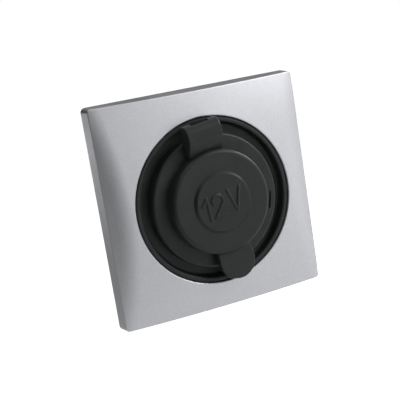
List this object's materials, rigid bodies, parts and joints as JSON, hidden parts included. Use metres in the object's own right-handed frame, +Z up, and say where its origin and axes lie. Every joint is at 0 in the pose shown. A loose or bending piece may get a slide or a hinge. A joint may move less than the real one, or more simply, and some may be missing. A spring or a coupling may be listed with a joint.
{
  "type": "car 12 V power socket",
  "caption": "Panel-mount 12 V socket: round flip-lid socket with a sprung hinged cap in a black dish, inside a square domed silver trim frame; ring nut and blade terminals behind.",
  "frame": {"origin": "on the socket's axis in the panel plane, where the back of the mounting base rests", "axes": "front faces -Y, +Y goes into the panel along the socket's axis, +Z up with the cap's hinge at the top, +X to the right seen from the front"},
  "size_m": [0.061, 0.052, 0.061],
  "materials": {
    "silver_plastic": "silver paint with a satin sheen on moulded plastic",
    "black_plastic": "fine satin moulded black plastic",
    "nickel": "nickel plated drawn steel",
    "insulator": "brown pressed insulating board",
    "brass": "bare stamped brass",
    "seal_rubber": "soft black rubber",
    "steel": "plain steel wire"
  },
  "bodies": {
    "body": {"trim_frame": "silver_plastic", "mounting_base": "black_plastic", "socket_body": "black_plastic", "ring_nut": "black_plastic", "contact_shell": "nickel", "front_insulator": "insulator", "rear_insulator": "insulator", "centre_contact": "brass", "positive_terminal": "brass", "negative_terminal": "brass", "ground_rivet": "brass", "hinge_spring": "steel"},
    "lid": {"cap": "black_plastic", "cap_seal": "seal_rubber", "hinge_pin": "steel"}
  },
  "joints": [
    {"name": "cap_hinge", "type": "hinge", "parent": "body", "child": "lid", "pos_m": [-0.00265, -0.0115, 0.01982], "axis": [-0.9912, 0, -0.1323], "range_deg": [0, 100], "stiffness_Nm_per_rad": 0.004, "springref_deg": -28.65, "deforming": ["hinge_spring"]}
  ]
}
